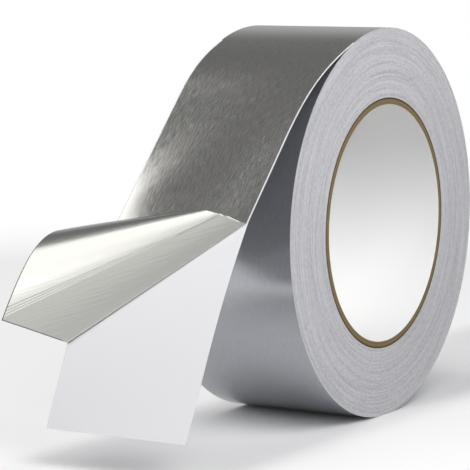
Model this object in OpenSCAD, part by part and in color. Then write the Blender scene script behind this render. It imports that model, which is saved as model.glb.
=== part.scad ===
// Roll of aluminium foil tape, with its outer end pulled off the roll
// and the foil peeled back from its paper liner.
// Millimetres, +Z up. The bore runs along Y and the cut end hangs on the -X side.
// The origin is on the floor, under the middle of the bore.

/* [Roll] */
// Width of the tape, over the edges of its liner
tape_w = 48; // [30:1:72]
// Diameter over the last turn
roll_d = 125; // [115:1:150]
// Depth of the flat spot that the weight of the roll gives it
flat_depth = 0.08; // [0.04:0.01:0.2]

/* [Core] */
// Bore of the paper core
core_bore = 76; // [50:1:90]
// Wall of the paper core
core_wall = 2.25; // [1:0.25:5]

/* [Tape] */
// Thickness of the paper liner
liner_t = 0.12; // [0.08:0.02:0.3]
// Thickness of the foil with its adhesive
foil_t = 0.1; // [0.06:0.02:0.2]
// Width of liner left bare along each edge of the foil
liner_margin = 0.5; // [0.1:0.1:2]

/* [Turns] */
// Distance between the ridges that show the turns on the two end faces
ridge_pitch = 2; // [1.4:0.1:6]
// Height of the ridges
ridge_height = 0.3; // [0.1:0.05:0.6]

/* [Pulled-off tape] */
// Angle round the roll at which the tape leaves it, from the +X side over the top
lift_angle = 111; // [95:1:125]
// Slope of the pulled-off tape where it runs straight
run_slope = 46; // [40:0.5:55]
// Length in which the front edge eases from the roll to that slope
front_ease = 55; // [40:1:70]
// Length in which the back edge eases from the roll to that slope
back_ease = 34; // [30:1:60]
// Length from the roll at which the back edge starts to lean down
lean_start = 70; // [50:1:90]
// Turn of the back edge from there to the peel
back_lean = 9; // [0:0.5:14]
// Turn of the bare liner at the peel, where the stiff foil leaves it
peel_kink = 9; // [0:0.5:14]
// Length over which the bare liner bends down past the peel
sag_length = 50; // [30:1:60]
// Slope of the hanging liner at its front edge
front_hang = 63; // [58:0.5:75]
// Slope of the hanging liner at its back edge
back_hang = 67; // [58:0.5:75]
// Height of the cut end of the liner over the floor
end_height = 11; // [4:1:30]

/* [Peeled foil] */
// Length of tape from the roll to the peel, on the front edge
front_peel = 82.5; // [60:0.5:95]
// Length of tape from the roll to the peel, on the back edge
back_peel = 124; // [96:1:130]
// Length of the loose foil on the front edge
front_foil = 58; // [50:0.5:68]
// Length of the loose foil on the back edge
back_foil = 21.5; // [18:0.5:26]
// How far the loose foil lies askew on the peel
foil_skew = 4; // [0:0.5:6]
// Turn of the tight fold at the peel
fold_turn = 132; // [120:1:160]
// Length of the tight fold on the front edge
front_fold = 0.5; // [0.5:0.1:2]
// Length of the tight fold on the back edge
back_fold = 1.2; // [1:0.1:4]
// Turn of the foil between the fold and the crease
band_turn = -8; // [-20:1:0]
// Distance from the peel to the crease, on the front edge
front_crease = 8.2; // [5:0.2:14]
// Distance from the far corner of the foil to the crease, along its cut end
end_crease = 0.8; // [0.2:0.2:4]
// Turn at the crease
crease_turn = 12; // [0:1:30]
// Distance from the peel to the end of the curl, on the front edge
front_curl = 18.6; // [15:0.2:26]
// Distance from the far corner of the foil to the end of the curl, along its cut end
end_curl = 35; // [28:0.2:42]
// Turn of the curl
curl_turn = 82; // [60:1:110]
// Turn of the last stretch, beyond the curl
tip_turn = 2; // [0:1:30]

/* [Hidden] */
$fn = 128;

tape_t = liner_t + foil_t;
roll_r = roll_d / 2;
core_r = core_bore / 2 + core_wall;
// Cutting shapes reach this far past what they cut
beyond = 1;
// The outline is a spiral of four quarter circles. Their centres step round a square,
// so that in one turn the radius falls by one tape.
shrink = tape_t / 4;
out = dir(lift_angle);
side = dir(lift_angle - 90);
quarter_centres = shrink * [out / 2, out / 2 + side, side - out / 2, -out / 2];
quarter_radii = [for (quarter = [0:3]) roll_r - shrink * (quarter + 0.5)];
// The third quarter stands on the floor
axis_z = quarter_radii[2] - quarter_centres[2].y - flat_depth;

// The rulings that the tape bends about run from its front edge to its back edge
glued_steps = 26;
bare_steps = 14;
last_ruling = glued_steps + bare_steps;
margin = liner_margin / tape_w;
lift_slope = lift_angle - 90;
ease_length = [front_ease, back_ease];
peel = [front_peel, back_peel];
lean = [0, back_lean];
hang = [front_hang, back_hang];
edge_y = [-tape_w / 2, tape_w / 2];

// Steps of the tight fold, of the band up to the crease, of the curl and of the last stretch
fold_steps = 8;
band_steps = 4;
curl_steps = 20;
tip_steps = 8;
// The curl opens towards its end, and the far corner of the foil is nipped off
curl_spacing = 0.5;
nipped = 0.97;

function unit(v) = v / norm(v);
function mix(a, b, k) = a + (b - a) * k;
function dir(angle) = [cos(angle), sin(angle)];
// Smooth step from 0 to 1
function ease(k) = let (c = min(max(k, 0), 1)) c * c * (3 - 2 * c);

// Slope of an edge of the tape, at a length from the roll. The liner is kinked where the foil leaves it.
function slope(edge, v) =
    v <= peel[edge]
    ? lift_slope
        + (run_slope - lift_slope) * ease(v / ease_length[edge])
        + lean[edge] * ease((v - lean_start) / (peel[edge] - lean_start))
    : mix(run_slope + lean[edge] + peel_kink, hang[edge], ease((v - peel[edge]) / sag_length));

// Point and outward direction of an edge, in space
function downhill(angle) = [-cos(angle), 0, -sin(angle)];
function outward(angle) = [-sin(angle), 0, cos(angle)];
function lift_point(edge) =
    let (p = (roll_r - tape_t) * dir(lift_angle))
    [p.x, edge_y[edge], axis_z + p.y];

// Length of an edge, such that its cut end hangs at the wanted height. It is paced off in short steps.
pace = 1;
function edge_length(edge, v = 0, z = undef) =
    let (
        height = is_undef(z) ? lift_point(edge).z : z,
        fall = pace * sin(slope(edge, v + pace / 2))
    )
    height - fall < end_height
    ? v + pace * (height - end_height) / fall
    : edge_length(edge, v + pace, height - fall);
cut = [edge_length(0), edge_length(1)];

// Length from the roll at which a ruling meets an edge
function station(edge, i) =
    i <= glued_steps
    ? peel[edge] * i / glued_steps
    : mix(peel[edge], cut[edge], (i - glued_steps) / bare_steps);
// Step along an edge to the next ruling. The first one leaves the roll along its tangent.
function step_of(edge, i) =
    let (a = station(edge, i), b = station(edge, i + 1))
    (b - a) * downhill(slope(edge, i == 0 ? a : (a + b) / 2));
function edge_points(edge) =
    [for (i = 0, p = lift_point(edge); i <= last_ruling; p = p + step_of(edge, i), i = i + 1) p];
edges = [edge_points(0), edge_points(1)];

// Point of the tape on ruling i, at a share u of its width and a height h over the liner's underside
function raised(edge, i, h) = edges[edge][i] + h * outward(slope(edge, station(edge, i)));
function on_tape(i, u, h) = mix(raised(0, i, h), raised(1, i, h), u);

// Solid swept through rings of points, one for each ruling, which follow a loop of [share of the width, height].
// Both ends are flat. Each face is split on the same corners over and under the sheet,
// so the sheet keeps its thickness where it twists.
module sweep(rings, loop) {
    sides = len(loop);
    last = len(rings) - 1;
    faces = [
        [for (k = [0:sides - 1]) k],
        [for (k = [0:sides - 1]) last * sides + sides - 1 - k],
        for (i = [0:last - 1])
            for (k = [0:sides - 1])
                let (
                    next = (k + 1) % sides,
                    a = i * sides + k,
                    b = i * sides + next,
                    c = a + sides,
                    d = b + sides
                )
                each loop[next][0] < loop[k][0] ? [[a, c, b], [b, c, d]] : [[a, c, d], [a, d, b]]
    ];
    polyhedron(points = [for (ring = rings) each ring], faces = faces);
}

// Quarter of the roll, back from the angle at which the tape leaves it
module quarter_turn(quarter) {
    translate(quarter_centres[quarter])
        intersection() {
            circle(r = quarter_radii[quarter]);
            rotate(lift_angle - 90 * (quarter + 1))
                square(roll_r + tape_t);
        }
}

// Half of the section through the turns. Their edges stand in ridges on the end face.
module turns_section() {
    ridges = round((roll_r - core_r) / ridge_pitch);
    pitch = (roll_r - core_r) / ridges;
    half_w = tape_w / 2;
    polygon([
        [core_r, 0],
        for (i = [0:ridges - 1])
            let (r = core_r + i * pitch)
            each [[r, half_w], [r + pitch / 2, half_w - ridge_height]],
        [roll_r, half_w],
        [roll_r + beyond, half_w],
        [roll_r + beyond, 0]
    ]);
}

module core() {
    color("peru")
        translate([0, 0, axis_z])
            rotate([90, 0, 0])
                difference() {
                    cylinder(r = core_r, h = tape_w, center = true);
                    cylinder(d = core_bore, h = tape_w + beyond, center = true);
                }
}

module wound_tape() {
    color("lightgray")
        difference() {
            translate([0, 0, axis_z])
                rotate([90, 0, 0])
                    intersection() {
                        linear_extrude(tape_w, center = true)
                            for (quarter = [0:3])
                                quarter_turn(quarter);
                        union() {
                            rotate_extrude()
                                turns_section();
                            mirror([0, 0, 1])
                                rotate_extrude()
                                    turns_section();
                        }
                    }
            translate([-roll_r, -tape_w, -roll_r])
                cube([roll_d, 2 * tape_w, roll_r]);
        }
}

// Paper liner of the pulled-off tape, from the roll to its cut end
module liner() {
    loop = [
        [0, 0],
        [1, 0],
        [1, liner_t],
        [1 - margin, liner_t],
        [margin, liner_t],
        [0, liner_t]
    ];
    color("whitesmoke")
        sweep([for (i = [0:last_ruling]) [for (c = loop) on_tape(i, c[0], c[1])]], loop);
}

// The loose foil starts as a flat sheet: x along the peel, y down the tape, z towards the shiny side
peel_front = on_tape(glued_steps, margin, liner_t);
peel_back = on_tape(glued_steps, 1 - margin, liner_t);
peel_length = norm(peel_back - peel_front);
along = (peel_back - peel_front) / peel_length;
shiny = unit(cross(along, downhill(slope(0, front_peel))));
down_tape = cross(shiny, along);
sheet_place = [
    for (i = [0:2]) [along[i], down_tape[i], shiny[i], peel_front[i]],
    [0, 0, 0, 1]
];
foil_w = tape_w - 2 * liner_margin;
sheet_slant = acos(foil_w / peel_length) - foil_skew;
sheet_down = [sin(sheet_slant), cos(sheet_slant)];
side_corner = [peel_length, 0] + back_foil * sheet_down;
far_corner = front_foil * sheet_down;
end_length = norm(far_corner - side_corner);

// Point of the flat sheet on its front edge, and along its side edge and cut end
function on_front(f) = f * sheet_down;
function on_rim(g) =
    g <= back_foil
    ? [peel_length, 0] + g * sheet_down
    : mix(side_corner, far_corner, (g - back_foil) / end_length);

// Lines that the sheet bends about: length on the front edge, length round the rim, turn
bends = [
    for (i = [0:fold_steps - 1])
        [front_fold * i / fold_steps, back_fold * i / fold_steps, fold_turn / fold_steps],
    for (i = [0:band_steps - 1])
        let (k = i / band_steps)
        [
            mix(front_fold, front_crease, k),
            mix(back_fold, back_foil + end_crease, k),
            band_turn / band_steps
        ],
    for (i = [0:curl_steps - 1])
        let (k = i / curl_steps)
        [
            mix(front_crease, front_curl, k),
            back_foil + mix(end_crease, end_curl, pow(k, curl_spacing)),
            curl_turn / curl_steps + (i == 0 ? crease_turn : 0)
        ],
    for (i = [0:tip_steps])
        let (k = nipped * i / tip_steps)
        [
            mix(front_curl, front_foil, k),
            back_foil + mix(end_curl, end_length, k),
            tip_turn / tip_steps
        ]
];

// Matrix that turns the sheet about one of those lines
function bend_turn(bend, angle) =
    let (
        p = on_front(bend[0]),
        k = unit(on_rim(bend[1]) - p),
        c = cos(angle),
        s = sin(angle),
        turn = [
            [c + k.x * k.x * (1 - c), k.x * k.y * (1 - c), k.y * s],
            [k.x * k.y * (1 - c), c + k.y * k.y * (1 - c), -k.x * s],
            [-k.y * s, k.x * s, c]
        ],
        shift = [p.x, p.y, 0] - turn * [p.x, p.y, 0]
    )
    [for (i = [0:2]) [each turn[i], shift[i]], [0, 0, 0, 1]];

// Place of the sheet before each bend, one bend after the other
places = [
    for (i = 0, place = sheet_place; i < len(bends); place = place * bend_turn(bends[i], bends[i][2]), i = i + 1)
        place
];

// Ring of the loose foil at a bend: its sticky side, then its shiny side
function placed(place, p, h) = let (q = place * [p.x, p.y, h, 1]) [q.x, q.y, q.z];
function flap_ring(i) =
    let (
        bend = bends[i],
        place = places[i] * bend_turn(bend, bend[2] / 2),
        front = on_front(bend[0]),
        rim = on_rim(bend[1])
    )
    [placed(place, front, 0), placed(place, rim, 0), placed(place, rim, foil_t), placed(place, front, foil_t)];

// Foil of the pulled-off tape: stuck to the liner as far as the peel, then folded back and curled
module foil() {
    loop = [[margin, liner_t], [1 - margin, liner_t], [1 - margin, tape_t], [margin, tape_t]];
    color("silver")
        sweep(
            [
                for (i = [0:glued_steps - 1]) [for (c = loop) on_tape(i, c[0], c[1])],
                for (i = [0:len(bends) - 1]) flap_ring(i)
            ],
            loop
        );
}

core();
wound_tape();
liner();
foil();
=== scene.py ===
"""Roll of aluminium foil tape, with its outer end pulled off the roll and the foil
peeled back from its paper liner.

Metres, +Z up. The bore runs along Y and the cut end hangs on the -X side.
The origin is on the floor, under the middle of the bore.
"""

import math

import bpy
from bpy.props import FloatProperty, FloatVectorProperty, PointerProperty
from mathutils import Matrix, Vector, noise


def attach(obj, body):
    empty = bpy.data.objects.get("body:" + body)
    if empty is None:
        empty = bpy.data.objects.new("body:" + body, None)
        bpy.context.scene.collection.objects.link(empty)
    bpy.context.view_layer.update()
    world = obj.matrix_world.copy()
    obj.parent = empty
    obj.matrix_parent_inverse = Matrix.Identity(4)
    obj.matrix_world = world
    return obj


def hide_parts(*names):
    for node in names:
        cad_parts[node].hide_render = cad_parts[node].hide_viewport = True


bl_info = {
    "name": "Foil Tape Roll",
    "version": (1, 0, 0),
    "blender": (4, 5, 0),
    "location": "3D View > Sidebar > Foil Tape",
    "description": "Builds a roll of aluminium foil tape, peeled open at its end",
    "category": "Add Mesh",
}

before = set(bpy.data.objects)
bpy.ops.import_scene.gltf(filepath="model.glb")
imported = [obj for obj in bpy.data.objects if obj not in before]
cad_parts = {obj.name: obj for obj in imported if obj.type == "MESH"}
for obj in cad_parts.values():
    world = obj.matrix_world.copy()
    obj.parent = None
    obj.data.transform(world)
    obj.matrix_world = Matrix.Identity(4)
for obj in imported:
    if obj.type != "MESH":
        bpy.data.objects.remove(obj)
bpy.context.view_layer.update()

MM = 0.001
FRONT, BACK = 0, 1

# Materials of a sheet, in the order of its slots. The fourth is painted shade in the fold at the peel, the
# fifth a painted glint on the front edge
HIGH_SIDE, LOW_SIDE, CUT_EDGE, PAINTED_FOLD_SHADE, PAINTED_EDGE_GLINT = range(5)

# Steps of the visible meshes, finer than those of the solids
ROUND = 256  # steps round the roll
GLUED = 104  # rulings from the roll to the peel
BARE = 56  # rulings from the peel to the cut end
ACROSS = 24  # columns across the pulled-off tape
FOLD, BAND, CURL, TIP = 16, 16, 72, 20  # rulings of the loose foil
WRINKLES = 6  # lines beside the crease, an even number
LOOSE = 48  # columns across the loose foil
LIP = 0.006  # share of the width that the rounded front edge of the loose foil takes, and the strip along its back edge that is painted dark as shade
CURL_SPACING = 0.5  # the curl opens towards its end
NIPPED = 0.97  # the far corner of the foil is nipped off
FOIL_COLUMNS = [0, LIP, *(k / LOOSE for k in range(1, LOOSE)), 1 - LIP, 1]
FOLD_SHADE_END = GLUED + FOLD // 2 + 2  # ruling at which the painted shade along the fold ends

# Where the pulled-off foil dips, as shares of its width and of its length to the peel
DIP_FROM = 0.2
DIP_STARTS, DIP_GROWS, DIP_FADES = 0.3, 0.3, 0.15
DIP_PEAK = 6.75  # brings the highest value of w * w * (1 - w) to 1

# Swelling of the loose foil's front edge, in millimetres along it
WAVE_RISES, WAVE_ENDS, WAVE_FADES = 7, 30, 20
NICK_LENGTH, NICKS_END, NICKS_FADE = 1.6, 22, 8
NICK_DEPTH = 0.6  # share of the wave's height

# Width, height and strength of a lamp, and where it stands: in degrees round the roll from the +X side,
# metres from it, metres over the floor, and degrees that it is tilted down
SOFT_BOXES = {
    "left_soft_box": (1.7, 3.65, 1.6, 147, 1.3, 2.375, 0),
    "low_soft_box": (0.46, 0.45, 1.1, 176, 1.3, 0.4, 0),
    "front_soft_box": (0.3, 0.3, 4, -118, 0.32, 0.36, 42),
    "fill_soft_box": (0.9, 0.8, 1, -140, 1.3, 0.8, 28),
    "top_soft_box": (0.7, 0.5, 1, 115, 0.52, 1.6, 72),
}

# The camera that fits the photograph's view
CAMERA_PLACE = (-0.685352, -0.377503, 0.1462615)
CAMERA_LOOKS = (0.85268522, 0.50997802, -0.11335928)
CAMERA_LENS = 185.03  # millimetres, on a sensor 36 mm wide


def linear(hex_value):
    """Linear colour of an sRGB hex value."""
    channels = [int(hex_value[i : i + 2], 16) / 255 for i in (1, 3, 5)]
    return [c / 12.92 if c <= 0.04045 else ((c + 0.055) / 1.055) ** 2.4 for c in channels]


def length(name, description, millimetres):
    """Length property, given in millimetres."""
    return FloatProperty(
        name=name, description=description, default=millimetres * MM, unit="LENGTH", precision=5
    )


def angle(name, description, degrees):
    """Angle property, given in degrees."""
    return FloatProperty(name=name, description=description, default=math.radians(degrees), subtype="ANGLE")


def colour(name, description, hex_value):
    """Colour property, given as an sRGB hex value."""
    return FloatVectorProperty(
        name=name, description=description, default=linear(hex_value), subtype="COLOR", min=0, max=1
    )


class RollSizes(bpy.types.PropertyGroup):
    """Sizes of the core and of the wound tape."""

    tape_w: length("Tape width", "Width of the tape, over the edges of its liner", 48)
    roll_d: length("Roll diameter", "Diameter over the last turn", 125)
    flat_depth: length("Flat spot", "Depth of the flat spot that the weight of the roll gives it", 0.08)
    core_bore: length("Core bore", "Bore of the paper core", 76)
    core_wall: length("Core wall", "Wall of the paper core", 2.25)
    lining_t: length("Lining", "Thickness of the white paper inside the core", 0.1)
    liner_t: length("Liner thickness", "Thickness of the paper liner", 0.12)
    foil_t: length("Foil thickness", "Thickness of the foil with its adhesive", 0.1)
    liner_margin: length("Liner margin", "Width of liner left bare along each edge of the foil", 0.5)
    turn_relief: length("Relief of the turns", "How far the turns stand in and out on the end faces", 0.02)


class PulledTapeSizes(bpy.types.PropertyGroup):
    """How the pulled-off tape leaves the roll and hangs."""

    lift_angle: angle("Lift-off", "Angle round the roll at which the tape leaves it, from the +X side", 111)
    run_slope: angle("Run", "Slope of the pulled-off tape where it runs straight", 46)
    front_ease: length("Front ease", "Length in which the front edge eases to that slope", 55)
    back_ease: length("Back ease", "Length in which the back edge eases to that slope", 34)
    lean_start: length("Lean start", "Length from the roll at which the back edge starts to lean down", 70)
    back_lean: angle("Back lean", "Turn of the back edge from there to the peel", 9)
    back_dip: length("Back dip", "How far the foil dips along its back edge, which curls up", 1.3)
    peel_kink: angle("Kink", "Turn of the liner at the peel, where the stiff foil leaves it", 9)
    sag_length: length("Sag length", "Length over which the bare liner bends down", 50)
    front_hang: angle("Front hang", "Slope of the hanging liner at its front edge", 63)
    back_hang: angle("Back hang", "Slope of the hanging liner at its back edge", 67)
    end_height: length("End height", "Height of the cut end of the liner over the floor", 11)


class PeeledFoilSizes(bpy.types.PropertyGroup):
    """How the foil is peeled off its liner, folded back and curled."""

    front_peel: length("Front peel", "Length of tape from the roll to the peel, on the front edge", 82.5)
    back_peel: length("Back peel", "Length of tape from the roll to the peel, on the back edge", 124)
    front_foil: length("Front foil", "Length of the loose foil on the front edge", 58)
    back_foil: length("Back foil", "Length of the loose foil on the back edge", 21.5)
    foil_skew: angle("Skew", "How far the loose foil lies askew on the peel", 4)
    fold_turn: angle("Fold", "Turn of the tight fold at the peel", 132)
    front_fold: length("Front fold", "Length of the tight fold on the front edge", 0.5)
    back_fold: length("Back fold", "Length of the tight fold on the back edge", 1.2)
    band_turn: angle("Band", "Turn of the band between the fold and the crease", -8)
    front_crease: length("Crease", "Distance from the peel to the crease, on the front edge", 8.2)
    end_crease: length(
        "End crease", "Distance from the far corner of the foil to the crease, along its cut end", 0.8
    )
    crease_turn: angle("Crease turn", "Turn at the crease", 12)
    wrinkle_turn: angle("Wrinkle turn", "Turn of each wrinkle, one way and then the other", 15)
    front_curl: length("Curl", "Distance from the peel to the end of the curl, on the front edge", 18.6)
    end_curl: length(
        "End curl", "Distance from the far corner of the foil to the end of the curl, along its cut end", 35
    )
    curl_turn: angle("Curl turn", "Turn of the curl", 82)
    tip_turn: angle("Tip turn", "Turn of the last stretch, beyond the curl", 2)
    front_wave: length(
        "Front wave", "How far the front edge of the loose foil swells past a straight line", 0.4
    )
    front_lip: length("Front lip", "How far the front edge of the loose foil is rounded off", 0.13)


class Finishes(bpy.types.PropertyGroup):
    """Colours of the materials."""

    foil: colour("Foil", "Rolled aluminium foil of the pulled-off tape", "#CDCCC6")
    # The foil on the roll is a darker, bluer copy of the same foil: painted shade for the darker reflections
    # on the roll
    wound_foil: colour("Wound foil, painted darker", "Rolled aluminium foil on the roll, darker as painted shade", "#B8BABF")
    sticky: colour("Sticky side", "Foil seen through its adhesive", "#C9C9C3")
    # Real slit edges, with their dark colour as painted shade
    edge: colour("Slit edge", "Slit edge of the foil", "#6E6D6B")
    # Near white as a painted glint on the front edge of the loose foil, which is real and was picked open
    edge_glint: colour("Edge glint", "Edge of the foil that was picked open, near white as a painted glint", "#F8F8F6")
    # Painted shade: the dark line in the gap where the foil leaves the liner at the peel
    fold_shade: colour("Fold shade", "Painted shade along the fold at the peel", "#6A6870")
    liner: colour("Liner", "White release paper", "#E1E1E4")
    turns: colour("Turns", "Cut edges of foil and paper on the end faces", "#D8D8DC")
    kraft: colour("Core board", "Brown board of the core", "#8A754E")
    lining: colour("Core lining", "White paper inside the core", "#FAFAF9")
    floor: colour("Floor", "Floor under the roll", "#FAFAFA")
    bounce: colour("Floor bounce", "What the floor throws back on the roll", "#A8A8A8")


def new_material(name):
    """Node-based material, with its node tree, and its surface shader."""
    made = bpy.data.materials.new(name)
    made.use_nodes = True
    return made, made.node_tree, made.node_tree.nodes["Principled BSDF"]


def add_node(tree, kind, links=(), **settings):
    """Node with its settings. A link is (input, what it gets): a socket or a value."""
    node = tree.nodes.new(kind)
    for name, value in settings.items():
        setattr(node, name, value)
    for socket, source in links:
        if isinstance(source, bpy.types.NodeSocket):
            tree.links.new(source, node.inputs[socket])
        else:
            node.inputs[socket].default_value = source
    return node


def make_piece(name, points, faces, uvs, materials, slots, node, sharp=35):
    """Mesh object that stands for a CAD node. Points in metres, one uv in mm for each point.

    Edges that turn by more than the sharp angle, in degrees, are creases.
    """
    mesh = bpy.data.meshes.new(name)
    mesh.from_pydata(points, [], faces)
    layer = mesh.uv_layers.new(name="tape_mm")
    for loop in mesh.loops:
        layer.data[loop.index].uv = uvs[loop.vertex_index]
    for material in materials:
        mesh.materials.append(material)
    mesh.polygons.foreach_set("material_index", slots)
    mesh.shade_smooth()
    mesh.set_sharp_from_angle(angle=math.radians(sharp))
    mesh.update()
    piece = bpy.data.objects.new(name, mesh)
    bpy.context.scene.collection.objects.link(piece)
    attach(piece, "root")
    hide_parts(node)
    return piece


# The roll


def direction(a):
    """Unit vector at an angle round the bore's axis, from the +X side towards +Z."""
    return Vector((math.cos(a), 0, math.sin(a)))


def spiral(sizes, lift, back, turn):
    """Point of the spiral, at an angle back from the lift-off and a number of whole turns in.

    The outline is four quarter circles whose centres step round a square.
    """
    tape_t = sizes.liner_t + sizes.foil_t
    shrink = tape_t / 4
    out, side = direction(lift), direction(lift - math.pi / 2)
    centres = [out / 2, out / 2 + side, side - out / 2, -out / 2]
    quarter = min(int(back / (math.pi / 2)), 3)
    radius = sizes.roll_d / 2 - shrink * (quarter + 0.5) - turn * tape_t
    return shrink * centres[quarter] + radius * direction(lift - back)


def axis_height(sizes, lift):
    """Height of the bore's axis over the floor."""
    shrink = (sizes.liner_t + sizes.foil_t) / 4
    centre = shrink * (direction(lift - math.pi / 2) - direction(lift) / 2)
    return sizes.roll_d / 2 - shrink * 2.5 - centre.z - sizes.flat_depth


def make_roll(sizes, pulled, finishes):
    """Wound tape as one true spiral: end faces of about a hundred turns, and the rim."""
    lift = pulled.lift_angle
    tape_t = sizes.liner_t + sizes.foil_t
    inner = sizes.core_bore / 2 + sizes.core_wall
    turns = int((sizes.roll_d / 2 - inner) / tape_t) - 1
    axis = Vector((0, 0, axis_height(sizes, lift)))
    rim_in = 0.4 * sizes.turn_relief
    points, faces, uvs, slots = [], [], [], []

    def on_floor(p):
        """The weight of the roll presses it flat where it stands."""
        return Vector((p.x, p.y, max(p.z, 0)))

    def relief(turn, back, y):
        """How far a turn stands in from the face. Groups of five or six turns stand together."""
        wound = turn + back / (2 * math.pi)
        around = Vector((0, math.cos(back), math.sin(back)))
        coarse = noise.noise(Vector((wound / 3, 0, y)) + 0.9 * around)
        fine = noise.noise(Vector((wound / 1.7, 7, y)) + 2.0 * around)
        return sizes.turn_relief * (1 + 0.75 * coarse + 0.35 * fine)

    for y in (-1, 1):
        start = len(points)
        for j in range(turns + 1):
            for i in range(ROUND):
                back = 2 * math.pi * i / ROUND
                if j < turns:
                    p = spiral(sizes, lift, back, j)
                else:
                    p = inner * direction(lift - back)
                depth = relief(j, back, y) if 0 < j < turns else rim_in
                p = on_floor(axis + p + Vector((0, y * (sizes.tape_w / 2 - depth), 0)))
                points.append(p)
                uvs.append((p.x / MM, p.z / MM))
        for j in range(turns):
            for i in range(ROUND):
                a = start + j * ROUND + i
                b = a + ROUND
                if i < ROUND - 1:
                    corners = [a, a + 1, b + 1, b]
                elif j < turns - 1:
                    corners = [a, start + (j + 1) * ROUND, start + (j + 2) * ROUND, b]
                else:
                    corners = [a, start + turns * ROUND, b]
                faces.append(corners if y > 0 else corners[::-1])
                slots.append(1)

    # The rim, and the step of one tape at its end
    columns = [k / 8 - 0.5 for k in range(9)]  # shares of the width, from its middle
    start = len(points)
    arc = 0
    for i in range(ROUND + 1):
        back = 2 * math.pi * i / ROUND
        p = spiral(sizes, lift, back, 0)
        for k in columns:
            y = 2 * k * (sizes.tape_w / 2 - rim_in)
            points.append(on_floor(axis + p + Vector((0, y, 0))))
            uvs.append((y / MM, arc / MM))
        arc += 2 * math.pi / ROUND * p.length
    wide = len(columns)
    for i in range(ROUND):
        for k in range(wide - 1):
            a = start + i * wide + k
            faces.append([a, a + 1, a + wide + 1, a + wide])
            slots.append(0)
    first, last = start, start + ROUND * wide
    for k in range(wide - 1):
        faces.append([first + k, last + k, last + k + 1, first + k + 1])
        slots.append(1)
    return make_piece(
        "wound_turns",
        points,
        faces,
        uvs,
        [
            rolled_foil(finishes.foil, finishes.wound_foil, "Aluminium foil on the roll, painted darker"),
            cut_edges(sizes, pulled, finishes.turns),
        ],
        slots,
        "wound_tape",
    )


def make_core(sizes, pulled, finishes):
    """Spiral-wound board tube, with a white paper inside."""
    axis = axis_height(sizes, pulled.lift_angle)
    half = sizes.tape_w / 2
    bore = sizes.core_bore / 2
    outer = bore + sizes.core_wall
    bite = 0.12 * MM  # bevel that the saw leaves on the edges
    seam = bore + sizes.lining_t
    # Profile of (radius, y), and the material of the stretch that follows each point
    profile = [
        (bore, -half + bite, 1),
        (bore, half - bite, 1),
        (bore + bite, half, 1),
        (seam, half, 0),
        (outer - bite, half, 0),
        (outer, half - bite, 0),
        (outer, -half + bite, 0),
        (outer - bite, -half, 0),
        (seam, -half, 1),
        (bore + bite, -half, 1),
    ]
    points, faces, uvs, slots = [], [], [], []
    for i in range(ROUND):
        a = 2 * math.pi * i / ROUND
        for r, y, _ in profile:
            points.append(Vector((0, y, axis)) + r * direction(a))
            uvs.append((y / MM, r * a / MM))
    wide = len(profile)
    for i in range(ROUND):
        for k in range(wide):
            a = i * wide + k
            b = i * wide + (k + 1) % wide
            c = (i + 1) % ROUND * wide + (k + 1) % wide
            d = (i + 1) % ROUND * wide + k
            faces.append([a, b, c, d])
            slots.append(profile[k][2])
    return make_piece(
        "core_tube",
        points,
        faces,
        uvs,
        [kraft_board(sizes, pulled, finishes.kraft), core_lining(finishes.lining)],
        slots,
        "core",
    )


# The pulled-off tape


def ease(k):
    """Smooth step from 0 to 1."""
    c = min(max(k, 0), 1)
    return c * c * (3 - 2 * c)


def mix(a, b, k):
    """Value a share k of the way from a to b."""
    return a + (b - a) * k


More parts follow.
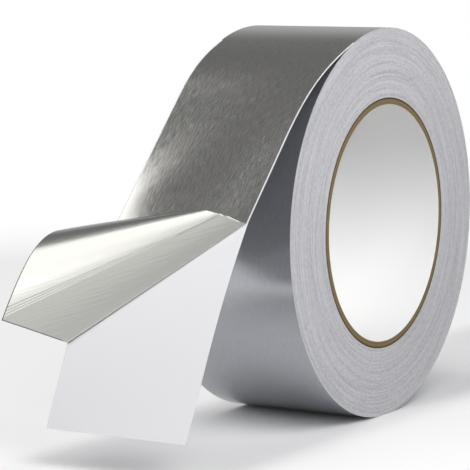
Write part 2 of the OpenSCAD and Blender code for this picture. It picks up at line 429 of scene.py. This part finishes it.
class PulledTape:
    """The rulings that the pulled-off tape bends about, from its front to its back edge."""

    def __init__(self, sizes, pulled, peeled):
        self.sizes, self.pulled = sizes, pulled
        self.tape_t = sizes.liner_t + sizes.foil_t
        self.margin = sizes.liner_margin / sizes.tape_w
        self.peel = (peeled.front_peel, peeled.back_peel)
        self.ease_length = (pulled.front_ease, pulled.back_ease)
        self.lean = (0, pulled.back_lean)
        self.hang = (pulled.front_hang, pulled.back_hang)
        start = axis_height(sizes, pulled.lift_angle)
        lift = (sizes.roll_d / 2 - self.tape_t) * direction(pulled.lift_angle)
        self.start = [Vector((lift.x, y * sizes.tape_w / 2, start + lift.z)) for y in (-1, 1)]
        self.cut = [self.edge_length(edge) for edge in (FRONT, BACK)]
        self.edges = [self.edge_points(edge) for edge in (FRONT, BACK)]

    def slope(self, edge, v):
        """Slope of an edge at a length from the roll. The liner is kinked where the foil leaves it."""
        pulled, peel = self.pulled, self.peel[edge]
        lift = pulled.lift_angle - math.pi / 2
        straight = lift + (pulled.run_slope - lift) * ease(v / self.ease_length[edge])
        leaning = straight + self.lean[edge] * ease((v - pulled.lean_start) / (peel - pulled.lean_start))
        if v <= peel:
            return leaning
        kinked = pulled.run_slope + self.lean[edge] + pulled.peel_kink
        return mix(kinked, self.hang[edge], ease((v - peel) / pulled.sag_length))

    def edge_length(self, edge):
        """Length of an edge, such that its cut end hangs at the wanted height."""
        steps = 400
        bent = self.peel[edge] + self.pulled.sag_length
        z = self.start[edge].z
        for i in range(steps):
            step = bent / steps
            fall = step * math.sin(self.slope(edge, step * (i + 0.5)))
            if z - fall < self.pulled.end_height:
                return step * (i + (z - self.pulled.end_height) / fall)
            z -= fall
        return bent + (z - self.pulled.end_height) / math.sin(self.hang[edge])

    def station(self, edge, i):
        """Length from the roll at which a ruling meets an edge."""
        if i <= GLUED:
            return self.peel[edge] * i / GLUED
        return mix(self.peel[edge], self.cut[edge], (i - GLUED) / BARE)

    def edge_points(self, edge):
        """Points of an edge of the liner's underside, one for each ruling."""
        points = [self.start[edge]]
        for i in range(GLUED + BARE):
            a, b = self.station(edge, i), self.station(edge, i + 1)
            s = self.slope(edge, a if i == 0 else (a + b) / 2)
            points.append(points[-1] + (b - a) * Vector((-math.cos(s), 0, -math.sin(s))))
        return points

    def outward(self, edge, i):
        """Direction square to the tape at an edge and a ruling, away from the roll's axis."""
        s = self.slope(edge, self.station(edge, i))
        return Vector((-math.sin(s), 0, math.cos(s)))

    def point(self, i, u, h):
        """Point on ruling i, at a share u of the width and a height h over the liner's underside."""
        out_front, out_back = self.outward(FRONT, i), self.outward(BACK, i)
        flat = mix(self.edges[FRONT][i] + h * out_front, self.edges[BACK][i] + h * out_back, u)
        k, w = i / GLUED, max((u - DIP_FROM) / (1 - DIP_FROM), 0)
        along = ease((k - DIP_STARTS) / DIP_GROWS) * ease((1 - k) / DIP_FADES)
        dip = self.pulled.back_dip * DIP_PEAK * w * w * (1 - w) * along
        return flat - dip * mix(out_front, out_back, u).normalized()

    def uv(self, i, u):
        """Millimetres across and along the tape."""
        along = mix(self.station(FRONT, i), self.station(BACK, i), u)
        return (u * self.sizes.tape_w / MM, along / MM)


def sheet_mesh(lows, highs, uvs, finish=lambda side, row, column: side):
    """Closed sheet between two grids of points. The finish gives the material of each face."""
    rows, wide = len(lows), len(lows[0])
    points = [p for row in highs for p in row] + [p for row in lows for p in row]
    flat_uvs = [uv for row in uvs for uv in row] * 2
    under = rows * wide
    faces, slots = [], []
    for i in range(rows - 1):
        for k in range(wide - 1):
            a = i * wide + k
            quad = [a, a + 1, a + wide + 1, a + wide]
            faces.append(quad)
            slots.append(finish(HIGH_SIDE, i, k))
            faces.append([q + under for q in quad[::-1]])
            slots.append(finish(LOW_SIDE, i, k))
        for k in (0, wide - 1):
            a = i * wide + k
            wall = [a, a + wide, a + wide + under, a + under]
            faces.append(wall if k == 0 else wall[::-1])
            slots.append(finish(CUT_EDGE, i, k))
    for i in (0, rows - 1):
        for k in range(wide - 1):
            a = i * wide + k
            wall = [a, a + 1, a + 1 + under, a + under]
            faces.append(wall[::-1] if i == 0 else wall)
            slots.append(finish(CUT_EDGE, i, k))
    return points, faces, flat_uvs, slots


def make_liner(tape, sizes, finishes):
    """Paper liner of the pulled-off tape, from the roll to its cut end."""
    shares = [0, tape.margin / 2, tape.margin] + [k / ACROSS for k in range(1, ACROSS)]
    shares += [1 - tape.margin, 1 - tape.margin / 2, 1]
    rulings = range(GLUED + BARE + 1)
    lows = [[tape.point(i, u, 0) for u in shares] for i in rulings]
    highs = [[tape.point(i, u, sizes.liner_t) for u in shares] for i in rulings]
    uvs = [[tape.uv(i, u) for u in shares] for i in rulings]
    points, faces, flat_uvs, slots = sheet_mesh(lows, highs, uvs)
    paper = release_paper(finishes.liner)
    edge = paper_edge(finishes.liner)
    return make_piece(
        "release_liner", points, faces, flat_uvs, [paper, paper, edge], slots, "liner"
    )


class LooseFoil:
    """The loose foil: a flat sheet that is bent about one line after the other.

    In the flat sheet x runs along the peel, y down the tape and z towards the shiny side.
    """

    def __init__(self, tape, sizes, peeled):
        self.sizes, self.peeled = sizes, peeled
        front = tape.point(GLUED, tape.margin, sizes.liner_t)
        back = tape.point(GLUED, 1 - tape.margin, sizes.liner_t)
        self.peel_length = (back - front).length
        along = (back - front).normalized()
        s = tape.slope(FRONT, peeled.front_peel)
        shiny = along.cross(Vector((-math.cos(s), 0, -math.sin(s)))).normalized()
        down = shiny.cross(along)
        start = Matrix.Translation(front) @ Matrix((along, down, shiny)).transposed().to_4x4()
        self.slant = math.acos((sizes.tape_w - 2 * sizes.liner_margin) / self.peel_length) - peeled.foil_skew
        self.down = Vector((math.sin(self.slant), math.cos(self.slant), 0))
        self.across = Vector((math.cos(self.slant), -math.sin(self.slant), 0))
        self.side_corner = Vector((self.peel_length, 0, 0)) + peeled.back_foil * self.down
        self.far_corner = peeled.front_foil * self.down
        self.end_length = (self.far_corner - self.side_corner).length
        self.bends = self.bend_lines()
        # Place of the sheet at each bend, halfway through its turn
        self.places = []
        place = start
        for front_at, rim_at, turn in self.bends:
            p, q = self.on_front(front_at), self.on_rim(rim_at)
            for half in (0, 1):
                spin = Matrix.Rotation(turn / 2, 4, (q - p).normalized())
                place = place @ Matrix.Translation(p) @ spin @ Matrix.Translation(-p)
                if half == 0:
                    self.places.append(place)

    def swell(self, f):
        """How far the front edge swells past its straight line, with small nicks where it was crumpled."""
        along = f / MM
        wave = ease(along / WAVE_RISES) * ease((WAVE_ENDS - along) / WAVE_FADES)
        nicks = noise.noise(Vector((along / NICK_LENGTH, 0, 3)))
        nicks *= ease(along) * ease((NICKS_END - along) / NICKS_FADE)
        return self.peeled.front_wave * (wave + NICK_DEPTH * nicks)

    def on_front(self, f):
        """Point of the flat sheet on its front edge, at a length from the peel."""
        return f * self.down

    def on_rim(self, g):
        """Point on its back edge and then on its cut end, at a length from the peel."""
        if g <= self.peeled.back_foil:
            return Vector((self.peel_length, 0, 0)) + g * self.down
        return mix(self.side_corner, self.far_corner, (g - self.peeled.back_foil) / self.end_length)

    def bend_lines(self):
        """Lines that the sheet bends about: length on the front edge, length round the rim, turn."""
        foil = self.peeled
        lines = []
        for i in range(FOLD):
            lines.append((foil.front_fold * i / FOLD, foil.back_fold * i / FOLD, foil.fold_turn / FOLD))
        corner = (foil.back_foil - foil.back_fold) / (foil.back_foil + foil.end_crease - foil.back_fold)
        for i in range(1, BAND + 1):
            k = i / BAND
            lines.append(
                (
                    mix(foil.front_fold, foil.front_crease, corner * k),
                    mix(foil.back_fold, foil.back_foil, k),
                    foil.band_turn / BAND,
                )
            )

        def curl_line(k):
            """Ends of a line of the curl, a share k of the way from the crease to the curl's end."""
            return (
                mix(foil.front_crease, foil.front_curl, k),
                foil.back_foil + mix(foil.end_crease, foil.end_curl, k**CURL_SPACING),
            )

        # Wrinkles fan out between the crease and the next line of the curl
        crease, after = curl_line(0), curl_line(1 / CURL)
        lines.append((*crease, foil.crease_turn + foil.curl_turn / CURL))
        for i in range(WRINKLES):
            k = (i + 1) / (WRINKLES + 1)
            turn = foil.wrinkle_turn * (1 if i % 2 else -1)
            lines.append((mix(crease[0], after[0], k), mix(crease[1], after[1], k), turn))
        for i in range(1, CURL):
            lines.append((*curl_line(i / CURL), foil.curl_turn / CURL))
        for i in range(TIP + 1):
            k = NIPPED * i / TIP
            lines.append(
                (
                    mix(foil.front_curl, foil.front_foil, k),
                    foil.back_foil + mix(foil.end_curl, self.end_length, k),
                    foil.tip_turn / TIP,
                )
            )
        return lines

    def row(self, i):
        """Points of the sticky and of the shiny side on bend line i, and their place on the tape."""
        front_at, rim_at, _ = self.bends[i]
        low, high, uvs = [], [], []
        for share in FOIL_COLUMNS:
            flat = mix(self.on_front(front_at), self.on_rim(rim_at), share)
            # The swelling dies away over a third of the width
            flat -= self.swell(front_at) * max(1 - 3 * share, 0) ** 2 * self.across
            if share == 0:
                flat.z += self.peeled.front_lip * ease((front_at - 0.4 * MM) / (1.5 * MM))
            low.append(self.places[i] @ flat)
            high.append(self.places[i] @ (flat + Vector((0, 0, self.sizes.foil_t))))
            uvs.append((self.across.dot(flat) / MM, (self.down.dot(flat) + self.peeled.front_peel) / MM))
        return low, high, uvs


def make_foil(tape, sizes, peeled, finishes):
    """Foil of the pulled-off tape: stuck to the liner as far as the peel, then folded back and curled."""
    shares = [mix(tape.margin, 1 - tape.margin, k) for k in FOIL_COLUMNS]
    lows = [[tape.point(i, u, sizes.liner_t) for u in shares] for i in range(GLUED)]
    highs = [[tape.point(i, u, tape.tape_t) for u in shares] for i in range(GLUED)]
    uvs = [[tape.uv(i, u) for u in shares] for i in range(GLUED)]
    loose = LooseFoil(tape, sizes, peeled)
    for i in range(len(loose.bends)):
        low, high, uv = loose.row(i)
        lows.append(low)
        highs.append(high)
        uvs.append(uv)

    def finish(side, row, column):
        """Painted shade lies in the fold, along the peel. Beyond it the front edge gets a painted glint, and
        a strip of the sticky side along the back edge gets the dark slit-edge colour as painted shade.
        """
        if row >= GLUED + FOLD:
            # Painted glint on the front edge of the loose foil
            if side == CUT_EDGE and column == 0:
                return PAINTED_EDGE_GLINT
            # Painted shade: a strip of the sticky side along the back edge takes the dark slit-edge colour
            if side == LOW_SIDE and column == len(FOIL_COLUMNS) - 2:
                return CUT_EDGE
        # Painted shade along the peel, on the sticky side of the first rulings of the fold
        elif side == LOW_SIDE and GLUED - 1 <= row < FOLD_SHADE_END:
            return PAINTED_FOLD_SHADE
        return side

    points, faces, flat_uvs, slots = sheet_mesh(lows, highs, uvs, finish)
    surfaces = [
        rolled_foil(finishes.foil, finishes.foil, "Aluminium foil, rolled, pulled off"),
        adhesive_side(finishes.sticky),
        # Slit edges, dark as painted shade
        foil_edge(finishes.edge, "Aluminium foil, slit edge, painted shade"),
        # Painted shade in the fold
        painted_fold_shade(finishes.fold_shade),
        # Front edge, near white as a painted glint
        foil_edge(finishes.edge_glint, "Aluminium foil, picked edge, painted glint"),
    ]
    return make_piece("peeled_foil", points, faces, flat_uvs, surfaces, slots, "foil", sharp=11)


# Materials


def tape_lines(tree, across_scale, along_scale, detail=2.0, turn=0.0):
    """Noise drawn out along the tape, or at a turn from it, from the uv map in millimetres."""
    uv = add_node(tree, "ShaderNodeUVMap", uv_map="tape_mm")
    turned = add_node(
        tree,
        "ShaderNodeVectorRotate",
        [("Vector", uv.outputs["UV"]), ("Angle", turn)],
        rotation_type="Z_AXIS",
    )
    stretched = add_node(
        tree,
        "ShaderNodeVectorMath",
        [(0, turned.outputs[0]), (1, (across_scale, along_scale, 1))],
        operation="MULTIPLY",
    )
    return add_node(
        tree, "ShaderNodeTexNoise", [("Vector", stretched.outputs[0]), ("Scale", 1.0), ("Detail", detail)]
    )


def rolled_foil(start, base, name):
    """Hard aluminium foil, cold rolled: the rolls leave fine lines along the tape and a satin gloss.

    The real lines are some 0.05 mm apart. They are drawn 0.4 mm apart, so that they show. On the roll
    the colour passes from that of the pulled-off end to a darker, bluer one, 40 to 90 mm on: painted shade,
    for the darker reflections on the roll.
    """
    material, tree, surface = new_material(name)
    lines = tape_lines(tree, 1 / 0.4, 1 / 3.5, 3)
    uv = add_node(tree, "ShaderNodeUVMap", uv_map="tape_mm")
    along = add_node(tree, "ShaderNodeSeparateXYZ", [("Vector", uv.outputs["UV"])])
    # Painted shade: 40 to 90 mm round from the lift-off, the foil on the roll turns darker and bluer
    painted_shade_share = add_node(
        tree, "ShaderNodeMapRange", [("Value", along.outputs["Y"]), ("From Min", 40.0), ("From Max", 90.0)]
    )
    tone = add_node(tree, "ShaderNodeValToRGB", [("Fac", painted_shade_share.outputs[0])])
    tone.color_ramp.elements[0].color = (*start, 1)
    tone.color_ramp.elements[1].color = (*base, 1)
    noisy = [("Value", lines.outputs[0]), ("From Min", 0.3), ("From Max", 0.7)]
    shade = add_node(tree, "ShaderNodeMapRange", [*noisy, ("To Min", 0.86), ("To Max", 1.0)])
    shaded = add_node(
        tree, "ShaderNodeVectorMath", [(0, tone.outputs[0]), (1, shade.outputs[0])], operation="MULTIPLY"
    )
    tree.links.new(shaded.outputs[0], surface.inputs["Base Color"])
    surface.inputs["Metallic"].default_value = 1
    rough = add_node(tree, "ShaderNodeMapRange", [*noisy, ("To Min", 0.16), ("To Max", 0.26)])
    tree.links.new(rough.outputs[0], surface.inputs["Roughness"])
    bump = add_node(
        tree, "ShaderNodeBump", [("Height", lines.outputs[0]), ("Strength", 0.11), ("Distance", 0.05 * MM)]
    )
    tree.links.new(bump.outputs[0], surface.inputs["Normal"])
    return material


def adhesive_side(base):
    """Foil under clear acrylic adhesive, coated on: a little yellow, with a wet gloss.

    Curling leaves fine creases in it, 0.8 mm apart, along the lines that it is bent about.
    """
    material, tree, surface = new_material("Aluminium foil under acrylic adhesive")
    creases = tape_lines(tree, 1 / 0.8, 1 / 14, 2, math.radians(35))
    surface.inputs["Base Color"].default_value = (*base, 1)
    surface.inputs["Metallic"].default_value = 1
    surface.inputs["Roughness"].default_value = 0.25
    bump = add_node(
        tree, "ShaderNodeBump", [("Height", creases.outputs[0]), ("Strength", 0.25), ("Distance", 0.1 * MM)]
    )
    tree.links.new(bump.outputs[0], surface.inputs["Normal"])
    return material


def painted_fold_shade(base):
    """Painted shade in the fold: dull dark grey, a line along the peel where the foil leaves the liner."""
    material, _, surface = new_material("Painted shade in the fold at the peel")
    surface.inputs["Base Color"].default_value = (*base, 1)
    surface.inputs["Roughness"].default_value = 0.5
    return material


def foil_edge(base, name):
    """Cut edge of foil: rough metal, half matt. Its colour carries painted light: dark as shade on the slit
    edges, near white as a glint on the picked front edge.
    """
    material, _, surface = new_material(name)
    surface.inputs["Base Color"].default_value = (*base, 1)
    surface.inputs["Metallic"].default_value = 0.3
    surface.inputs["Roughness"].default_value = 0.6
    return material


def release_paper(base):
    """Bleached paper, calendered and siliconed: smooth and white, with a soft sheen.

    It scatters light inside, which softens its shading. Its fibres are drawn 1 to 2 mm long.
    """
    material, tree, surface = new_material("Release paper, siliconed")
    fibres = tape_lines(tree, 1 / 1.2, 1 / 1.8, 4)
    surface.inputs["Base Color"].default_value = (*base, 1)
    surface.inputs["Roughness"].default_value = 0.5
    surface.inputs["Subsurface Weight"].default_value = 0.3
    surface.inputs["Subsurface Radius"].default_value = (1, 1, 1)
    surface.inputs["Subsurface Scale"].default_value = 0.5 * MM
    bump = add_node(
        tree, "ShaderNodeBump", [("Height", fibres.outputs[0]), ("Strength", 0.1), ("Distance", 0.05 * MM)]
    )
    tree.links.new(bump.outputs[0], surface.inputs["Normal"])
    return material


def paper_edge(base):
    """Slit edge of the paper: matt and white."""
    material, _, surface = new_material("Release paper, slit edge")
    surface.inputs["Base Color"].default_value = (*base, 1)
    surface.inputs["Roughness"].default_value = 0.8
    return material


def ring_radius(tree, sizes, pulled):
    """Distance from the bore's axis in millimetres, and the place in the plane of the end face."""
    place = add_node(tree, "ShaderNodeTexCoord").outputs["Object"]
    centred = add_node(
        tree,
        "ShaderNodeVectorMath",
        [(0, place), (1, (0, 0, axis_height(sizes, pulled.lift_angle)))],
        operation="SUBTRACT",
    )
    flat = add_node(
        tree,
        "ShaderNodeVectorMath",
        [(0, centred.outputs[0]), (1, (1 / MM, 0, 1 / MM))],
        operation="MULTIPLY",
    )
    radius = add_node(tree, "ShaderNodeVectorMath", [(0, flat.outputs[0])], operation="LENGTH")
    return radius.outputs["Value"], flat.outputs[0]


def cut_edges(sizes, pulled, base):
    """Slit edges of a hundred turns of foil, adhesive and paper: pale and matt, with fine rings.

    A turn is 0.22 mm, too fine to show. The rings are drawn 1.3 mm apart, and the frayed fibres 0.9 mm.
    """
    material, tree, surface = new_material("Slit edges of foil and paper")
    radius, flat = ring_radius(tree, sizes, pulled)

    def rings(pitch, around, detail):
        """Noise in rings of a pitch, that changes round the roll over a length, both in mm."""
        slow = [(0, flat), (1, (1 / around, 1, 1 / around))]
        slow = add_node(tree, "ShaderNodeVectorMath", slow, operation="MULTIPLY")
        ring = add_node(tree, "ShaderNodeMath", [(0, radius), (1, 2 / pitch)], operation="MULTIPLY")
        lift = add_node(tree, "ShaderNodeCombineXYZ", [("Y", ring.outputs[0])])
        place = [(0, slow.outputs[0]), (1, lift.outputs[0])]
        place = add_node(tree, "ShaderNodeVectorMath", place, operation="ADD")
        return add_node(
            tree, "ShaderNodeTexNoise", [("Vector", place.outputs[0]), ("Scale", 1.0), ("Detail", detail)]
        ).outputs[0]

    turns, frayed = rings(1.3, 30, 2.0), rings(0.9, 1.4, 3.0)
    both = add_node(tree, "ShaderNodeMix", [("Factor", 0.5), ("A", turns), ("B", frayed)])
    ramp = add_node(tree, "ShaderNodeValToRGB", [("Fac", both.outputs[0])])
    ramp.color_ramp.elements[0].position = 0.36
    ramp.color_ramp.elements[0].color = (*[c * 0.7 for c in base], 1)
    ramp.color_ramp.elements[1].position = 0.6
    ramp.color_ramp.elements[1].color = (*base, 1)
    tree.links.new(ramp.outputs[0], surface.inputs["Base Color"])
    surface.inputs["Roughness"].default_value = 0.65
    bump = add_node(
        tree, "ShaderNodeBump", [("Height", both.outputs[0]), ("Strength", 0.4), ("Distance", 0.12 * MM)]
    )
    tree.links.new(bump.outputs[0], surface.inputs["Normal"])
    return material


def kraft_board(sizes, pulled, base):
    """Unbleached board, wound in plies and sawn: brown and matt, with the plies as rings."""
    material, tree, surface = new_material("Kraft board, wound")
    radius, flat = ring_radius(tree, sizes, pulled)
    bore = sizes.core_bore / 2 / MM
    outer = bore + sizes.core_wall / MM
    frayed = add_node(tree, "ShaderNodeTexNoise", [("Vector", flat), ("Scale", 1 / 0.9), ("Detail", 3.0)])
    # The saw frays the plies by up to 0.5 mm, by 0.25 mm on average
    fray = 0.5
    rough = add_node(tree, "ShaderNodeMath", [(0, frayed.outputs[0]), (1, fray)], operation="MULTIPLY")
    ragged = add_node(tree, "ShaderNodeMath", [(0, radius), (1, rough.outputs[0])], operation="ADD")
    wall = add_node(
        tree,
        "ShaderNodeMapRange",
        [("Value", ragged.outputs[0]), ("From Min", bore + fray / 2), ("From Max", outer + fray / 2)],
    )
    ramp = add_node(tree, "ShaderNodeValToRGB", [("Fac", wall.outputs[0])])
    # Share of the wall from the bore outwards, and the shade of the ply there
    plies = [(0.0, 0.35), (0.12, 1.1), (0.38, 0.7), (0.52, 1.1), (0.78, 0.6), (0.9, 0.12)]
    while len(ramp.color_ramp.elements) < len(plies):
        ramp.color_ramp.elements.new(1)
    for element, (share, shade) in zip(ramp.color_ramp.elements, plies):
        element.position = share
        element.color = (*[c * shade for c in base], 1)
    tree.links.new(ramp.outputs[0], surface.inputs["Base Color"])
    surface.inputs["Roughness"].default_value = 0.85
    return material


def core_lining(base):
    """Bleached paper, glued inside the core: matt white."""
    material, _, surface = new_material("White paper lining")
    surface.inputs["Base Color"].default_value = (*base, 1)
    surface.inputs["Roughness"].default_value = 0.7
    return material


# Floor, light and camera


def painted_floor(finishes):
    """Floor with a matt white coat of paint: it takes the roll's shadow, and fades to plain white."""
    material, tree, surface = new_material("Painted floor, matt")
    surface.inputs["Roughness"].default_value = 0.9
    # White share of the floor: whole far from the roll, and 0.6 beyond its end faces
    place = add_node(tree, "ShaderNodeTexCoord").outputs["Object"]
    away = add_node(tree, "ShaderNodeVectorMath", [(0, place)], operation="LENGTH")
    far = add_node(
        tree,
        "ShaderNodeMapRange",
        [("Value", away.outputs["Value"]), ("From Min", 0.15), ("From Max", 0.6)],
        interpolation_type="SMOOTHSTEP",
    )
    axes = add_node(tree, "ShaderNodeSeparateXYZ", [("Vector", place)])
    across = add_node(tree, "ShaderNodeMath", [(0, axes.outputs["Y"])], operation="ABSOLUTE")
    beside = add_node(
        tree,
        "ShaderNodeMapRange",
        [("Value", across.outputs[0]), ("From Min", 0.024), ("From Max", 0.042), ("To Max", 0.6)],
        interpolation_type="SMOOTHSTEP",
    )
    either = [(0, far.outputs[0]), (1, beside.outputs[0])]
    whiter = add_node(tree, "ShaderNodeMath", either, operation="MAXIMUM")
    # Only rays from the camera, also by way of the foil, see that white
    path = add_node(tree, "ShaderNodeLightPath").outputs
    direct = [(0, path["Is Camera Ray"]), (1, path["Is Glossy Ray"])]
    direct = add_node(tree, "ShaderNodeMath", direct, operation="ADD")
    seen = [(0, direct.outputs[0]), (1, path["Is Transmission Ray"])]
    seen = add_node(tree, "ShaderNodeMath", seen, operation="ADD", use_clamp=True)
    share = [(0, whiter.outputs[0]), (1, seen.outputs[0])]
    share = add_node(tree, "ShaderNodeMath", share, operation="MULTIPLY")
    # The roll gets less light back from the floor than the eye does
    tone = add_node(tree, "ShaderNodeValToRGB", [("Fac", seen.outputs[0])])
    tone.color_ramp.elements[0].color = (*finishes.bounce, 1)
    tone.color_ramp.elements[1].color = (*finishes.floor, 1)
    tree.links.new(tone.outputs[0], surface.inputs["Base Color"])
    white = add_node(tree, "ShaderNodeEmission", [("Strength", 1.0)])
    blend = add_node(
        tree, "ShaderNodeMixShader", [(0, share.outputs[0]), (1, surface.outputs[0]), (2, white.outputs[0])]
    )
    tree.links.new(blend.outputs[0], tree.nodes["Material Output"].inputs["Surface"])
    return material


def make_floor(scene, finishes):
    """Round floor, 40 m out to its rim, so that its edge lies at the horizon."""
    sides = 96
    rings = [0.5, 2, 6, 40]
    points = [(0, 0, 0)]
    faces = []
    for r in rings:
        for i in range(sides):
            a = 2 * math.pi * i / sides
            points.append((r * math.cos(a), r * math.sin(a), 0))
    for i in range(sides):
        faces.append((0, 1 + i, 1 + (i + 1) % sides))
        for j in range(len(rings) - 1):
            a, b = 1 + j * sides + i, 1 + j * sides + (i + 1) % sides
            faces.append((a, a + sides, b + sides, b))
    mesh = bpy.data.meshes.new("floor")
    mesh.from_pydata(points, [], faces)
    mesh.materials.append(painted_floor(finishes))
    floor = bpy.data.objects.new("floor", mesh)
    scene.collection.objects.link(floor)


def make_world(scene):
    """White studio, lighter round the horizon than above."""
    world = bpy.data.worlds.new("studio")
    scene.world = world
    world.use_nodes = True
    studio = world.node_tree
    view = add_node(studio, "ShaderNodeTexCoord").outputs["Generated"]
    height = add_node(studio, "ShaderNodeSeparateXYZ", [("Vector", view)])
    fade = [("Value", height.outputs["Z"]), ("From Min", 0.35), ("From Max", 0.6)]
    level = add_node(studio, "ShaderNodeMapRange", [*fade, ("To Min", 0.5), ("To Max", 0.21)])
    studio.links.new(level.outputs[0], studio.nodes["Background"].inputs["Strength"])
    studio.nodes["Background"].inputs["Color"].default_value = (1, 1, 1.03, 1)


def soft_box(scene, name, wide, high, strength, azimuth, away, height, tilt):
    """Evenly bright panel that faces the roll. A strength of 1 makes it look plain white."""
    lamp = bpy.data.lights.new(name, "AREA")
    lamp.shape = "RECTANGLE"
    lamp.size, lamp.size_y = wide, high
    lamp.energy = strength * math.pi * wide * high
    holder = bpy.data.objects.new(name, lamp)
    a, t = math.radians(azimuth), math.radians(tilt)
    facing = Vector((math.cos(a) * math.cos(t), math.sin(a) * math.cos(t), math.sin(t)))
    holder.location = Vector((away * math.cos(a), away * math.sin(a), height))
    holder.rotation_euler = facing.to_track_quat("Z", "Y").to_euler()
    holder.visible_camera = False
    scene.collection.objects.link(holder)


def make_camera(scene):
    """Camera at the photograph's viewing angle."""
    camera = bpy.data.cameras.new("camera")
    camera.sensor_width = 36
    camera.lens = CAMERA_LENS
    camera.clip_end = 100
    holder = bpy.data.objects.new("camera", camera)
    forward = Vector(CAMERA_LOOKS).normalized()
    right = forward.cross(Vector((0, 0, 1))).normalized()
    up = right.cross(forward)
    turned = Matrix((right, up, -forward)).transposed().to_4x4()
    holder.matrix_world = Matrix.Translation(CAMERA_PLACE) @ turned
    scene.collection.objects.link(holder)
    scene.camera = holder


def make_stage(finishes):
    """Pale floor, studio, lamps and camera."""
    scene = bpy.context.scene
    make_floor(scene, finishes)
    make_world(scene)
    for name, values in SOFT_BOXES.items():
        soft_box(scene, name, *values)
    make_camera(scene)
    scene.view_settings.view_transform = "Standard"


# Operators and panel


class FOILTAPE_OT_roll(bpy.types.Operator):
    """Build the wound tape"""

    bl_idname = "foiltape.roll"
    bl_label = "Wound Tape"

    def execute(self, context):
        scene = context.scene
        make_roll(scene.roll_sizes, scene.pulled_sizes, scene.finishes)
        return {"FINISHED"}


class FOILTAPE_OT_core(bpy.types.Operator):
    """Build the paper core"""

    bl_idname = "foiltape.core"
    bl_label = "Core"

    def execute(self, context):
        scene = context.scene
        make_core(scene.roll_sizes, scene.pulled_sizes, scene.finishes)
        return {"FINISHED"}


class FOILTAPE_OT_pulled_tape(bpy.types.Operator):
    """Build the pulled-off tape: the paper liner, and the foil peeled back from it"""

    bl_idname = "foiltape.pulled_tape"
    bl_label = "Pulled-off Tape"

    def execute(self, context):
        scene = context.scene
        tape = PulledTape(scene.roll_sizes, scene.pulled_sizes, scene.peeled_sizes)
        make_liner(tape, scene.roll_sizes, scene.finishes)
        make_foil(tape, scene.roll_sizes, scene.peeled_sizes, scene.finishes)
        return {"FINISHED"}


class FOILTAPE_OT_stage(bpy.types.Operator):
    """Build the floor, the lights and the camera"""

    bl_idname = "foiltape.stage"
    bl_label = "Stage"

    def execute(self, context):
        make_stage(context.scene.finishes)
        return {"FINISHED"}


class FOILTAPE_PT_pieces(bpy.types.Panel):
    """Lists the pieces of the roll and the stage"""

    bl_idname = "FOILTAPE_PT_pieces"
    bl_label = "Foil Tape Roll"
    bl_space_type = "VIEW_3D"
    bl_region_type = "UI"
    bl_category = "Foil Tape"

    def draw(self, context):
        for operator in OPERATORS:
            self.layout.operator(operator.bl_idname)
        for group in GROUPS:
            box = self.layout.box()
            settings = getattr(context.scene, group)
            for name in settings.__annotations__:
                box.prop(settings, name)


GROUPS = {
    "roll_sizes": RollSizes,
    "pulled_sizes": PulledTapeSizes,
    "peeled_sizes": PeeledFoilSizes,
    "finishes": Finishes,
}
OPERATORS = (FOILTAPE_OT_stage, FOILTAPE_OT_core, FOILTAPE_OT_roll, FOILTAPE_OT_pulled_tape)


def register():
    for group in GROUPS.values():
        bpy.utils.register_class(group)
    for operator in OPERATORS:
        bpy.utils.register_class(operator)
    bpy.utils.register_class(FOILTAPE_PT_pieces)
    for name, group in GROUPS.items():
        setattr(bpy.types.Scene, name, PointerProperty(type=group))


def unregister():
    for name in GROUPS:
        delattr(bpy.types.Scene, name)
    bpy.utils.unregister_class(FOILTAPE_PT_pieces)
    for operator in reversed(OPERATORS):
        bpy.utils.unregister_class(operator)
    for group in GROUPS.values():
        bpy.utils.unregister_class(group)


def main():
    """Build the pieces and the stage."""
    register()
    bpy.ops.foiltape.stage()
    bpy.ops.foiltape.core()
    bpy.ops.foiltape.roll()
    bpy.ops.foiltape.pulled_tape()


if __name__ == "__main__":
    main()
